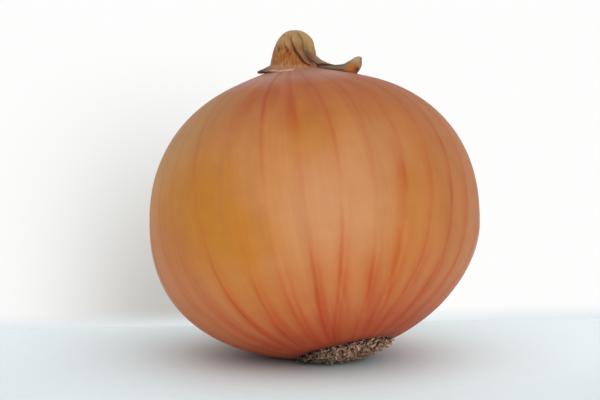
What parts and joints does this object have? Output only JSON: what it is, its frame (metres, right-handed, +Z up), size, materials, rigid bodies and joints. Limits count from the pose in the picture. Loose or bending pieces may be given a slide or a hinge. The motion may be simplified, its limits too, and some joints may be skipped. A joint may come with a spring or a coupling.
{
  "type": "onion",
  "caption": "Large yellow-brown onion with fine lengthwise veins, a dry folded neck with a trailing tip, and a plate of clipped roots.",
  "frame": {"origin": "on the surface the onion rests on, in the middle under the bulb", "axes": "+Z up from the resting surface, -Y towards the viewer of the picture, +X to that viewer's right, where the neck's tail points"},
  "size_m": [0.0947, 0.0948, 0.0938],
  "materials": {
    "skin": "thin dry papery skin with a soft satin sheen, orange-brown with finer red-brown veins",
    "neck": "matte dry fibrous leaf, tan to brown",
    "root": "matte dry curled roots, grey-brown"
  },
  "bodies": {
    "root": {"bulb": "skin", "neck": "neck", "root_plate": "root"}
  },
  "joints": []
}
